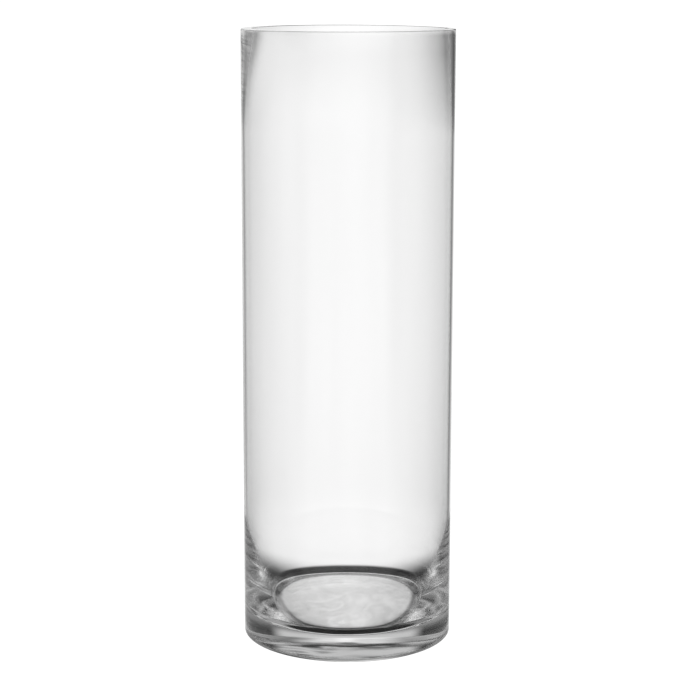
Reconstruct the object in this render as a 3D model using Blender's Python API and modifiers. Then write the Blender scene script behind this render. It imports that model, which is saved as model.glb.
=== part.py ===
"""A clear glass cylinder vase, blown in one piece: heavy base, thin wall, thicker flat-topped rim.

Metres, +Z up. The origin is the centre of the flat ring that the vase stands on. The vase is a
single body of glass, so it is one turned profile. The profile starts at the middle of the inside
floor, climbs the inside, crosses the rim, comes down the outside and ends at the middle underneath.

Run with: blender --background --python part.py
"""

import math

import bpy
import numpy as np

# Driving dimensions
HEIGHT = 0.297  # standing ring to the top of the rim
OUTER_RADIUS = 0.051

# Wall
WALL = 0.00135  # thin part, through most of the height
RIM_WALL = 0.0044  # where the mouth was sheared and fire polished
RIM_EDGE = 0.0006  # roundness of the two edges of the flat rim
RIM_TAPER = 0.050  # depth below the rim over which the wall thins
RIM_TAPER_POWER = 1.5  # above 1, so that the taper runs smoothly into the thin wall
FOOT_SPREAD = 0.01376  # how much thicker than WALL the foot would be at table level
FOOT_TOP = 0.0616  # height at which the thicker foot has become the thin wall

# Base
FLOOR_HEIGHT = 0.0102  # edge of the inside floor above the standing ring
FLOOR_RISE = 0.0012  # how far the middle of that floor stands above its edge
CORNER_RADIUS = 0.00806  # between the inside floor and the foot
HEEL_RADIUS = 0.0018  # outer bottom edge
RING_WIDTH = 0.006  # flat ring that touches the table
PUSH_UP = 0.0018  # depth of the hollow inside that ring

# Points along each stretch of the profile, and copies of it around the axis
FLOOR_STEPS = 5
CORNER_STEPS = 8
FOOT_STEPS = 8
STRAIGHT_STEPS = 2
TAPER_STEPS = 6
RIM_EDGE_STEPS = 3
HEEL_STEPS = 5
PUSH_UP_STEPS = 6
TURN_STEPS = 96

TANGENT_ROUNDS = 20
SAME_POINT = 0.00001
SODA_LIME_IOR = 1.52


def foot_share(height):
    """1 at table level, 0 from FOOT_TOP upwards."""
    return max(0.0, 1.0 - height / FOOT_TOP)


def wall_at(height):
    """Thickness of the wall at a height above the corner of the floor."""
    taper_share = max(0.0, 1.0 - (HEIGHT - height) / RIM_TAPER)
    rim_extra = (RIM_WALL - WALL) * taper_share**RIM_TAPER_POWER
    return WALL + FOOT_SPREAD * foot_share(height) ** 2 + rim_extra


def corner_sweep():
    """The angle that the corner turns through, where its arc runs smoothly into the leaning foot."""
    height = FLOOR_HEIGHT
    for _ in range(TANGENT_ROUNDS):
        lean = math.atan(2.0 * FOOT_SPREAD / FOOT_TOP * foot_share(height))
        sweep = math.pi / 2 - lean
        height = FLOOR_HEIGHT + CORNER_RADIUS * (1.0 - math.cos(sweep))
    return sweep


CORNER_SWEEP = corner_sweep()
CORNER_TOP = FLOOR_HEIGHT + CORNER_RADIUS * (1.0 - math.cos(CORNER_SWEEP))
FLOOR_RADIUS = OUTER_RADIUS - wall_at(CORNER_TOP) - CORNER_RADIUS * math.sin(CORNER_SWEEP)


def floor_points():
    """The floor, from the axis out to its corner, a little higher in the middle."""
    points = []
    for radius in np.linspace(0.0, FLOOR_RADIUS, FLOOR_STEPS + 1):
        points.append((radius, FLOOR_HEIGHT + FLOOR_RISE * (1.0 - (radius / FLOOR_RADIUS) ** 2)))
    return points


def corner_points():
    """The rounded inside corner, from the floor up to the foot."""
    points = []
    for angle in np.linspace(0.0, CORNER_SWEEP, CORNER_STEPS + 1):
        radius = FLOOR_RADIUS + CORNER_RADIUS * math.sin(angle)
        height = FLOOR_HEIGHT + CORNER_RADIUS * (1.0 - math.cos(angle))
        points.append((radius, height))
    return points


def inner_wall_points():
    """The inside: the foot thinning upwards, the straight wall, and the thickening to the rim."""
    taper_start = HEIGHT - RIM_TAPER
    rim_start = HEIGHT - RIM_EDGE
    heights = np.concatenate(
        (
            np.linspace(CORNER_TOP, FOOT_TOP, FOOT_STEPS, endpoint=False),
            np.linspace(FOOT_TOP, taper_start, STRAIGHT_STEPS, endpoint=False),
            np.linspace(taper_start, rim_start, TAPER_STEPS, endpoint=False),
        )
    )
    return [(OUTER_RADIUS - wall_at(height), height) for height in heights]


def rim_points():
    """The fire-polished rim: flat on top, with a small rounded edge on each side."""
    rim_start = HEIGHT - RIM_EDGE
    inner_edge = OUTER_RADIUS - wall_at(rim_start) + RIM_EDGE
    outer_edge = OUTER_RADIUS - RIM_EDGE
    points = []
    for middle, first, last in (
        (inner_edge, math.pi, math.pi / 2),
        (outer_edge, math.pi / 2, 0.0),
    ):
        for angle in np.linspace(first, last, RIM_EDGE_STEPS + 1):
            radius = middle + RIM_EDGE * math.cos(angle)
            height = rim_start + RIM_EDGE * math.sin(angle)
            points.append((radius, height))
    return points


def heel_points():
    """The rounded outer bottom edge, from the side of the vase to the standing ring."""
    middle = OUTER_RADIUS - HEEL_RADIUS
    points = []
    for angle in np.linspace(0.0, math.pi / 2, HEEL_STEPS + 1):
        radius = middle + HEEL_RADIUS * math.cos(angle)
        height = HEEL_RADIUS - HEEL_RADIUS * math.sin(angle)
        points.append((radius, height))
    return points


def underside_points():
    """The shallow hollow underneath, from the inner edge of the standing ring to the axis."""
    edge = OUTER_RADIUS - HEEL_RADIUS - RING_WIDTH
    points = []
    for radius in np.linspace(edge, 0.0, PUSH_UP_STEPS + 1):
        points.append((radius, PUSH_UP * (1.0 - (radius / edge) ** 2)))
    return points


def without_repeats(points):
    """The points in order, leaving out any that repeats the one before it."""
    kept = [points[0]]
    for point in points[1:]:
        if math.dist(point, kept[-1]) > SAME_POINT:
            kept.append(point)
    return kept


def vase_profile():
    stretches = (
        floor_points(),
        corner_points(),
        inner_wall_points(),
        rim_points(),
        heel_points(),
        underside_points(),
    )
    return without_repeats([point for stretch in stretches for point in stretch])


def clear_glass():
    material = bpy.data.materials.new("clear_glass")
    material.use_nodes = True
    shader = material.node_tree.nodes["Principled BSDF"]
    shader.inputs["Base Color"].default_value = (0.97, 0.98, 0.98, 1.0)
    shader.inputs["Roughness"].default_value = 0.02
    shader.inputs["Metallic"].default_value = 0.0
    shader.inputs["IOR"].default_value = SODA_LIME_IOR
    shader.inputs["Transmission Weight"].default_value = 1.0
    return material


def turned(name, profile, material):
    """A solid of revolution about Z, from (radius, height) points."""
    mesh = bpy.data.meshes.new(name)
    corners = [(radius, 0.0, height) for radius, height in profile]
    edges = [(index, index + 1) for index in range(len(corners) - 1)]
    mesh.from_pydata(corners, edges, [])
    mesh.materials.append(material)
    piece = bpy.data.objects.new(name, mesh)
    screw = piece.modifiers.new("turn", "SCREW")
    screw.axis = "Z"
    screw.angle = math.tau
    screw.steps = TURN_STEPS
    screw.render_steps = TURN_STEPS
    screw.use_smooth_shade = True
    screw.use_merge_vertices = True
    screw.merge_threshold = SAME_POINT
    return piece


def clear_scene():
    for old in list(bpy.data.objects):
        bpy.data.objects.remove(old, do_unlink=True)


def main():
    clear_scene()
    vase = bpy.data.collections.new("glass_cylinder_vase")
    bpy.context.scene.collection.children.link(vase)
    vase.objects.link(turned("vase_body", vase_profile(), clear_glass()))


main()
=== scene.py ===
"""Looks of the clear glass cylinder vase: its fine surface, its glass, the studio and the camera.

Metres, in the CAD frame: +Z up, with the origin at the centre of the ring that the vase stands on.
The camera stands in front, on the -Y side, with +X to its right. Azimuths are measured from
straight behind the vase, +Y, and grow towards +X.
"""

import math

import bpy
import numpy as np
from mathutils import Matrix, Vector, noise


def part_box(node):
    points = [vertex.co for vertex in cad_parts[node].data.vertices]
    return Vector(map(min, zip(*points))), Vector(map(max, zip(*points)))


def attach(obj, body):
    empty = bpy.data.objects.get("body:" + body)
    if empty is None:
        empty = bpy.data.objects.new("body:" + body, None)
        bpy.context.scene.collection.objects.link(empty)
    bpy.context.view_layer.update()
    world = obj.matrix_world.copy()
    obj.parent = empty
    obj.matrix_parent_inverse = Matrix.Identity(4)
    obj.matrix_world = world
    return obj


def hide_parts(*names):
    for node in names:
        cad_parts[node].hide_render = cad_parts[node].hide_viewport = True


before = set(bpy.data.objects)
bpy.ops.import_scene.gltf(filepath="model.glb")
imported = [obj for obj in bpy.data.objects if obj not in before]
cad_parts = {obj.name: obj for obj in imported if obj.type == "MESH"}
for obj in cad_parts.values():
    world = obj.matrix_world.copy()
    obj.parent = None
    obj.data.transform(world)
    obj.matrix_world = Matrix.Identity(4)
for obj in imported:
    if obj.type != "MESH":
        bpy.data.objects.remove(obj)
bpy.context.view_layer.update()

NODE = "vase_body"
BODY = "root"

cad_low, cad_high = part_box(NODE)
HEIGHT = cad_high[2] - cad_low[2]
OUTER_RADIUS = (cad_high[0] - cad_low[0]) / 2

# The vase's section, as in the CAD
WALL = 0.00135  # thin part, through most of the height
RIM_WALL = 0.0044
RIM_TAPER = 0.050  # depth below the rim over which the wall thins
RIM_TAPER_POWER = 1.5
RIM_EDGE = 0.0006  # roundness of the two edges of the flat rim
FOOT_SPREAD = 0.01376  # how much thicker than WALL the foot would be at table level
FOOT_TOP = 0.0616  # height at which the thicker foot has become the thin wall
FLOOR_HEIGHT = 0.0102  # edge of the inside floor above the standing ring
FLOOR_RISE = 0.0012  # how far the middle of that floor stands above its edge
CORNER_RADIUS = 0.00806  # between the inside floor and the foot
HEEL_RADIUS = 0.0018  # outer bottom edge
RING_WIDTH = 0.006  # flat ring that touches the table
PUSH_UP = 0.0018  # depth of the hollow inside that ring

# How finely each stretch of the section and the turn are cut
FLOOR_STEPS = 20
CORNER_STEPS = 28
FOOT_STEPS = 60
STRAIGHT_STEPS = 30
TAPER_STEPS = 24
RIM_STEPS = 8  # each rounded edge of the rim, and the flat between them
OUTSIDE_STEPS = 30
HEEL_STEPS = 12
UNDERSIDE_STEPS = 24
TURN_STEPS = 360
TANGENT_ROUNDS = 20

# Irregularities of blown glass
OFF_CENTRE = 0.0010  # how far the inside has drifted towards +X at the rim
WAVE = 0.00010  # slow waves of the inside surface
WAVE_STRETCH = Vector((14.0, 14.0, 9.0))  # noise cells to the metre
FLOOR_SWIRL = 0.00009  # unevenness of the inside floor
FLOOR_SWIRL_FINENESS = 9.0  # times finer than the waves
RIM_DIP = 0.00015  # how far the fire-polished rim sags where it is lowest
RIM_DIP_DEPTH = 3.0 * RIM_WALL  # how far below the rim the sag begins
RIM_DIP_COUNT = 2.0
RIM_DIP_TURN = 0.7  # radians by which the dips are turned about the axis

# Glass. A range is the two values, of a noise or of a height, between which an effect fades.
SODA_LIME_IOR = 1.52
DRAW_LINE_STRETCH = (60.0, 60.0, 5.0)  # noise cells to the metre, so the lines are long upwards
DRAW_LINE_DETAIL = 3.0
DRAW_LINE_RANGE = (0.3, 0.7)
DRAW_LINE_CLARITY = 0.985  # where a line is darkest
UNDERSIDE_RANGE = (0.0019, 0.0020)  # everything lower is underside
MOTTLE_SCALE = 70.0
MOTTLE_DETAIL = 7.0
MOTTLE_DISTORTION = 2.2
MOTTLE_RANGE = (0.35, 0.65)
MOTTLE_AND_PAINTED_SHADE_CLARITY = (0.62, 0.80)  # of the underside, where it is darkest and lightest: the swirl is the glass's own mottle, and the overall darkening is painted shade of the shadowed table under the vase
SCUFF_SCALE = 900.0
SCUFF_DETAIL = 6.0
SCUFF_RANGE = (0.45, 0.62)
SCUFF_ROUGHNESS = 0.22
STANDING_RING_RANGE = (0.0001, 0.0005)  # only glass this low is scuffed by the table
FOOT_SOFTNESS = 0.05  # roughness of the tooled foot, enough to blend its many inner reflections
SOFT_FROM_RANGE = (0.0019, 0.0029)
SOFT_UP_TO_RANGE = (0.03, FOOT_TOP)

# Camera
CAMERA_DISTANCE = 0.9751
CAMERA_HEIGHT = 0.3297
CAMERA_PITCH = math.radians(10.90)
CAMERA_YAW = math.radians(-0.069)
CAMERA_ROLL = math.radians(0.138)
CAMERA_LENS = 104.8
CAMERA_NEAREST = 0.01

# Light on the glass, as soft-edged panels around it, all in degrees but the last: azimuth, half
# width and edge across; lowest and highest elevation and edge upwards; brightness. Panels below
# the horizon are what the glass sees of a lit table, and steeply below it the table is dark.
PANELS = {
    "window_behind": (-1.0, 20, 10, -34.5, 0, 5, 0.80),
    "window_core": (0.0, 3.5, 3.5, -34.5, 3, 5, 0.22),
    "window_top": (-6.0, 13, 9, 0, 12, 5, 0.92),
    "bar_behind": (0, 32, 6, 16, 23, 3, 0.54),
    "upper_left": (-54, 26, 8, 27, 50, 5, 0.50),
    "upper_right": (54, 26, 8, 27, 50, 5, 0.64),
    "left_side": (-78, 48, 12, -14, 0, 4, 0.55),
    "right_side": (78, 48, 12, -14, 0, 4, 0.50),
    "left_side_high": (-72, 46, 10, 0, 15, 5, 0.28),
    "right_side_high": (74, 46, 10, 0, 15, 5, 0.17),
    "left_table": (-66, 42, 10, -43, -14, 4, 0.39),
    "right_table": (66, 42, 10, -36, -14, 4, 0.24),
    "window_in_front": (180, 50, 10, -14, 4, 4, 0.55),
    "table_edge_in_front": (180, 72, 10, -27, -14, 4, 0.38),
    "table_in_front": (180, 64, 12, -42, -29, 8, 1.10),
    "ceiling": (0, 180, 5, 52, 80, 6, 0.30),
    "room": (0, 180, 5, -42, 46, 4, 0.02),
}

# Floor and backdrop, one glowing sweep that only the camera sees, with a painted lane of light
SWEEP_RADIUS = 7.0
SWEEP_BEND = 2.5  # radius of the curve from the floor into the wall
SWEEP_HEIGHT = 6.0
SWEEP_BEND_STEPS = 15
SWEEP_TURN_STEPS = 128
SWEEP_SAME_POINT = 0.0001
SWEEP_GREY = 0.56  # glow to the sides of the painted lane of light
SWEEP_LANE_PAINTED_LIGHT = 1.08  # painted light: the glow along the white lane
LANE_SLOPE = 0.18  # half width of the lane, as a share of the distance from the camera
LANE_FADE = 0.26  # how much wider it is where it has faded to grey
PAPER_GRAIN_SCALE = 3.0
PAPER_GRAIN_RANGE = (0.3, 0.7)
PAPER_GRAIN_SHADE = (0.985, 1.015)

# Light paths
MOST_BOUNCES = 32
MOST_GLOSSY_BOUNCES = 24


# ---------------------------------------------------------------- the glass, as a fine turned mesh


def foot_share(height):
    """1 at table level, 0 from FOOT_TOP upwards."""
    return max(0.0, 1.0 - height / FOOT_TOP)


def wall_at(height):
    """Thickness of the wall at a height above the corner of the floor."""
    taper_share = max(0.0, 1.0 - (HEIGHT - height) / RIM_TAPER)
    rim_extra = (RIM_WALL - WALL) * taper_share**RIM_TAPER_POWER
    return WALL + FOOT_SPREAD * foot_share(height) ** 2 + rim_extra


def corner_sweep():
    """The angle that the corner turns through, where its arc runs smoothly into the leaning foot."""
    height = FLOOR_HEIGHT
    for _ in range(TANGENT_ROUNDS):
        lean = math.atan(2.0 * FOOT_SPREAD / FOOT_TOP * foot_share(height))
        sweep = math.pi / 2 - lean
        height = FLOOR_HEIGHT + CORNER_RADIUS * (1.0 - math.cos(sweep))
    return sweep


def arc_points(middle, bend, first, last, steps):
    """Points along an arc of the section, all but the last one."""
    points = []
    for angle in np.linspace(first, last, steps, endpoint=False):
        points.append((middle[0] + bend * math.cos(angle), middle[1] + bend * math.sin(angle)))
    return points


def inside_points():
    """Floor, corner, foot, straight wall and rim taper, from the axis to the start of the rim."""
    sweep = corner_sweep()
    corner_top = FLOOR_HEIGHT + CORNER_RADIUS * (1.0 - math.cos(sweep))
    floor_radius = OUTER_RADIUS - wall_at(corner_top) - CORNER_RADIUS * math.sin(sweep)
    points = []
    for radius in np.linspace(0.0, floor_radius, FLOOR_STEPS, endpoint=False):
        points.append((radius, FLOOR_HEIGHT + FLOOR_RISE * (1.0 - (radius / floor_radius) ** 2)))
    middle = (floor_radius, FLOOR_HEIGHT + CORNER_RADIUS)
    points += arc_points(middle, CORNER_RADIUS, -math.pi / 2, sweep - math.pi / 2, CORNER_STEPS)
    taper_start = HEIGHT - RIM_TAPER
    rim_start = HEIGHT - RIM_EDGE
    heights = np.concatenate(
        (
            np.linspace(corner_top, FOOT_TOP, FOOT_STEPS, endpoint=False),
            np.linspace(FOOT_TOP, taper_start, STRAIGHT_STEPS, endpoint=False),
            np.linspace(taper_start, rim_start, TAPER_STEPS, endpoint=False),
        )
    )
    points += [(OUTER_RADIUS - wall_at(height), height) for height in heights]
    return points


def outside_points():
    """The flat rim with its rounded edges, the side, the heel and the hollow underneath."""
    rim_start = HEIGHT - RIM_EDGE
    inner_edge = OUTER_RADIUS - wall_at(rim_start) + RIM_EDGE
    outer_edge = OUTER_RADIUS - RIM_EDGE
    heel_edge = OUTER_RADIUS - HEEL_RADIUS
    hollow_edge = heel_edge - RING_WIDTH
    points = arc_points((inner_edge, rim_start), RIM_EDGE, math.pi, math.pi / 2, RIM_STEPS)
    for radius in np.linspace(inner_edge, outer_edge, RIM_STEPS, endpoint=False):
        points.append((radius, HEIGHT))
    points += arc_points((outer_edge, rim_start), RIM_EDGE, math.pi / 2, 0.0, RIM_STEPS)
    for height in np.linspace(rim_start, HEEL_RADIUS, OUTSIDE_STEPS, endpoint=False):
        points.append((OUTER_RADIUS, height))
    points += arc_points((heel_edge, HEEL_RADIUS), HEEL_RADIUS, 0.0, -math.pi / 2, HEEL_STEPS)
    points.append((heel_edge, 0.0))
    for radius in np.linspace(hollow_edge, 0.0, UNDERSIDE_STEPS + 1):
        points.append((radius, PUSH_UP * (1.0 - (radius / hollow_edge) ** 2)))
    return points


def smooth_step(low, high, value):
    """0 up to low, 1 from high upwards, and a smooth rise between them."""
    share = min(1.0, max(0.0, (value - low) / (high - low)))
    return share * share * (3.0 - 2.0 * share)


def blown(point, inside):
    """Where a point of the perfect shape lies on the real one."""
    x, y, z = point
    radius = math.hypot(x, y)
    outward = Vector((x, y, 0.0)) / radius if radius > 0.0 else Vector((0.0, 0.0, 0.0))
    place = Vector((x * WAVE_STRETCH.x, y * WAVE_STRETCH.y, z * WAVE_STRETCH.z))
    moved = Vector(point)
    drift = smooth_step(HEIGHT - RIM_TAPER, HEIGHT, z) * min(1.0, (OUTER_RADIUS - radius) / RIM_WALL)
    moved.x += OFF_CENTRE * drift
    if inside:
        above_floor = smooth_step(FLOOR_HEIGHT, FOOT_TOP, z)
        moved += outward * (WAVE * above_floor * noise.noise(place))
        on_floor = 1.0 - smooth_step(FLOOR_HEIGHT, FLOOR_HEIGHT + CORNER_RADIUS, z)
        moved.z += FLOOR_SWIRL * on_floor * noise.noise(place * FLOOR_SWIRL_FINENESS)
    near_top = smooth_step(HEIGHT - RIM_DIP_DEPTH, HEIGHT, z)
    sag = 0.5 + 0.5 * math.sin(math.atan2(y, x) * RIM_DIP_COUNT + RIM_DIP_TURN)
    moved.z -= RIM_DIP * near_top * sag
    return moved


def glass_mesh():
    """Rings of points around the axis, joined in quads, with a single point at each end."""
    section = [(radius, height, True) for radius, height in inside_points()]
    section += [(radius, height, False) for radius, height in outside_points()]
    vertices = [blown((0.0, 0.0, section[0][1]), True)]
    for radius, height, inside in section[1:-1]:
        for turn in range(TURN_STEPS):
            angle = math.tau * turn / TURN_STEPS
            point = (radius * math.cos(angle), radius * math.sin(angle), height)
            vertices.append(blown(point, inside))
    vertices.append(blown((0.0, 0.0, section[-1][1]), False))
    end = len(vertices) - 1
    last_ring = end - TURN_STEPS
    faces = []
    for turn in range(TURN_STEPS):
        after = (turn + 1) % TURN_STEPS
        faces.append((0, 1 + turn, 1 + after))
        for ring in range(1, last_ring, TURN_STEPS):
            following = ring + TURN_STEPS
            faces.append((ring + turn, following + turn, following + after, ring + after))
        faces.append((last_ring + turn, end, last_ring + after))
    mesh = bpy.data.meshes.new("blown_glass")
    mesh.from_pydata(vertices, [], faces)
    mesh.shade_smooth()
    return mesh


# ---------------------------------------------------------------- small helpers for node trees


class Nodes:
    """Makes nodes in one tree and links them."""

    def __init__(self, tree):
        self.tree = tree

    def add(self, kind, **settings):
        node = self.tree.nodes.new(kind)
        for name, value in settings.items():
            setattr(node, name, value)
        return node

    def put(self, value, socket):
        """Link the value to the socket if it is a socket itself, and else set it there."""
        if isinstance(value, bpy.types.NodeSocket):
            self.tree.links.new(value, socket)
        else:
            socket.default_value = value

    def math(self, operation, *values):
        node = self.add("ShaderNodeMath", operation=operation)
        for index, value in enumerate(values):
            self.put(value, node.inputs[index])
        return node.outputs[0]

    def ramp(self, value, low, high, to_low, to_high):
        """A smooth step from to_low, at low, to to_high, at high."""
        node = self.add("ShaderNodeMapRange", interpolation_type="SMOOTHSTEP")
        for index, given in enumerate((value, low, high, to_low, to_high)):
            self.put(given, node.inputs[index])
        return node.outputs[0]

    def soft_edge(self, value, edge, fade):
        """1 where value is well under edge, 0 where it is well over, half way at the edge itself."""
        return self.ramp(value, edge - fade, edge + fade, 1.0, 0.0)

    def coordinates(self, kind):
        return self.add("ShaderNodeTexCoord").outputs[kind]

    def split(self, vector):
        node = self.add("ShaderNodeSeparateXYZ")
        self.put(vector, node.inputs[0])
        return node.outputs

    def stretched(self, vector, stretch):
        node = self.add("ShaderNodeMapping")
        self.put(vector, node.inputs["Vector"])
        self.put(stretch, node.inputs["Scale"])
        return node.outputs[0]

    def clouds(self, place, scale, detail, distortion=0.0):
        """Noise, with about scale cells to the metre."""
        node = self.add("ShaderNodeTexNoise")
        self.put(place, node.inputs["Vector"])
        self.put(scale, node.inputs["Scale"])
        self.put(detail, node.inputs["Detail"])
        self.put(distortion, node.inputs["Distortion"])
        return node.outputs["Fac"]


def glass_material():
    """Clear soda-lime glass with faint draw lines, a mottled underside darkened by painted shade, and
    a scuffed standing ring.
    """
    material = bpy.data.materials.new("clear_glass_look")
    material.use_nodes = True
    nodes = Nodes(material.node_tree)
    shader = material.node_tree.nodes["Principled BSDF"]
    shader.inputs["IOR"].default_value = SODA_LIME_IOR
    shader.inputs["Transmission Weight"].default_value = 1.0
    place = nodes.coordinates("Object")
    _, _, height = nodes.split(place)

    lines = nodes.clouds(nodes.stretched(place, DRAW_LINE_STRETCH), 1.0, DRAW_LINE_DETAIL)
    clarity = nodes.ramp(lines, *DRAW_LINE_RANGE, DRAW_LINE_CLARITY, 1.0)
    # The underside's colour is darkened: a swirl of mottle that the glass has, over painted shade
    # standing in for the shadowed table seen through the base
    swirl = nodes.clouds(place, MOTTLE_SCALE, MOTTLE_DETAIL, MOTTLE_DISTORTION)
    mottle_and_painted_shade = nodes.ramp(swirl, *MOTTLE_RANGE, *MOTTLE_AND_PAINTED_SHADE_CLARITY)
    underneath = nodes.ramp(height, *UNDERSIDE_RANGE, 1.0, 0.0)
    painted_shade_and_mottle_loss = nodes.math("MULTIPLY", underneath, nodes.math("SUBTRACT", 1.0, mottle_and_painted_shade))
    nodes.put(nodes.math("SUBTRACT", clarity, painted_shade_and_mottle_loss), shader.inputs["Base Color"])

    scuffs = nodes.clouds(place, SCUFF_SCALE, SCUFF_DETAIL)
    scuffed = nodes.ramp(scuffs, *SCUFF_RANGE, 0.0, SCUFF_ROUGHNESS)
    on_ring = nodes.ramp(height, *STANDING_RING_RANGE, 1.0, 0.0)
    worn = nodes.math("MULTIPLY", on_ring, scuffed)
    above_underside = nodes.ramp(height, *SOFT_FROM_RANGE, 0.0, FOOT_SOFTNESS)
    in_foot = nodes.ramp(height, *SOFT_UP_TO_RANGE, 1.0, 0.0)
    soft = nodes.math("MULTIPLY", above_underside, in_foot)
    nodes.put(nodes.math("MAXIMUM", worn, soft), shader.inputs["Roughness"])
    return material


def make_vase():
    piece = bpy.data.objects.new("blown_glass_body", glass_mesh())
    bpy.context.scene.collection.objects.link(piece)
    piece.data.materials.append(glass_material())
    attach(piece, BODY)
    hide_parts(NODE)


# ---------------------------------------------------------------- studio


def light_the_room():
    """The light that the glass sees: a world with all the panels added up, by direction only."""
    world = bpy.data.worlds.new("studio")
    bpy.context.scene.world = world
    world.use_nodes = True
    nodes = Nodes(world.node_tree)
    background = world.node_tree.nodes["Background"]
    background.inputs["Color"].default_value = (1.0, 1.0, 1.0, 1.0)
    x, y, z = nodes.split(nodes.coordinates("Generated"))
    elevation = nodes.math("DEGREES", nodes.math("ARCSINE", z))
    azimuth = nodes.math("DEGREES", nodes.math("ARCTAN2", x, y))
    light = 0.0
    for centre, half_width, edge_across, lowest, highest, edge_up, level in PANELS.values():
        turned = nodes.math("WRAP", nodes.math("SUBTRACT", azimuth, centre), 180.0, -180.0)
        across = nodes.soft_edge(nodes.math("ABSOLUTE", turned), half_width, edge_across)
        above = nodes.soft_edge(nodes.math("MULTIPLY", elevation, -1.0), -lowest, edge_up)
        below = nodes.soft_edge(elevation, highest, edge_up)
        panel = nodes.math("MULTIPLY", nodes.math("MULTIPLY", across, above), below)
        light = nodes.math("ADD", light, nodes.math("MULTIPLY", panel, level))
    nodes.put(light, background.inputs["Strength"])


def sweep_material():
    """Paper that glows by itself, white along a lane through the camera's view as a painted pool of
    light, pale grey on both sides of it.
    """
    material = bpy.data.materials.new("studio_paper_painted_light")
    material.use_nodes = True
    tree = material.node_tree
    nodes = Nodes(tree)
    tree.nodes.remove(tree.nodes["Principled BSDF"])
    glow = nodes.add("ShaderNodeEmission")
    x, y, _ = nodes.split(nodes.coordinates("Object"))
    along = nodes.math("MAXIMUM", nodes.math("ADD", y, CAMERA_DISTANCE), CAMERA_DISTANCE / 2)
    off_lane = nodes.math("DIVIDE", nodes.math("ABSOLUTE", x), along)
    # Painted light: the paper glows brighter along the lane than to its sides
    level = nodes.ramp(off_lane, LANE_SLOPE, LANE_SLOPE + LANE_FADE, SWEEP_LANE_PAINTED_LIGHT, SWEEP_GREY)
    grain = nodes.add("ShaderNodeTexNoise")
    grain.inputs["Scale"].default_value = PAPER_GRAIN_SCALE
    shade = nodes.ramp(grain.outputs["Fac"], *PAPER_GRAIN_RANGE, *PAPER_GRAIN_SHADE)
    nodes.put(nodes.math("MULTIPLY", level, shade), glow.inputs["Strength"])
    nodes.put(glow.outputs[0], tree.nodes["Material Output"].inputs["Surface"])
    return material


def make_sweep():
    """A floor that curves up into a wall all around, turned about the vase."""
    section = [(0.0, 0.0), (SWEEP_RADIUS - SWEEP_BEND, 0.0)]
    for angle in np.linspace(0.0, math.pi / 2, SWEEP_BEND_STEPS + 1):
        across = SWEEP_RADIUS - SWEEP_BEND + SWEEP_BEND * math.sin(angle)
        section.append((across, SWEEP_BEND * (1.0 - math.cos(angle))))
    section.append((SWEEP_RADIUS, SWEEP_HEIGHT))
    corners = [(radius, 0.0, height) for radius, height in section]
    edges = [(index, index + 1) for index in range(len(corners) - 1)]
    mesh = bpy.data.meshes.new("sweep")
    mesh.from_pydata(corners, edges, [])
    mesh.materials.append(sweep_material())
    floor = bpy.data.objects.new("studio_sweep", mesh)
    bpy.context.scene.collection.objects.link(floor)
    turn = floor.modifiers.new("turn", "SCREW")
    turn.steps = SWEEP_TURN_STEPS
    turn.render_steps = SWEEP_TURN_STEPS
    turn.use_smooth_shade = True
    turn.use_merge_vertices = True
    turn.merge_threshold = SWEEP_SAME_POINT
    floor.visible_diffuse = False
    floor.visible_glossy = False
    floor.visible_transmission = False
    floor.visible_shadow = False


def make_camera():
    lens = bpy.data.cameras.new("photo_camera")
    lens.lens = CAMERA_LENS
    lens.clip_start = CAMERA_NEAREST
    camera = bpy.data.objects.new("photo_camera", lens)
    camera.location = (0.0, -CAMERA_DISTANCE, CAMERA_HEIGHT)
    turn = Matrix.Rotation(CAMERA_YAW, 3, "Z") @ Matrix.Rotation(math.pi / 2 - CAMERA_PITCH, 3, "X")
    camera.rotation_euler = (turn @ Matrix.Rotation(CAMERA_ROLL, 3, "Z")).to_euler()
    bpy.context.scene.collection.objects.link(camera)
    bpy.context.scene.camera = camera


def set_light_paths():
    """Glass needs more inner reflections than the defaults give."""
    scene = bpy.context.scene
    scene.view_settings.view_transform = "Standard"
    scene.cycles.max_bounces = MOST_BOUNCES
    scene.cycles.transmission_bounces = MOST_BOUNCES
    scene.cycles.glossy_bounces = MOST_GLOSSY_BOUNCES


make_camera()
make_vase()
light_the_room()
make_sweep()
set_light_paths()
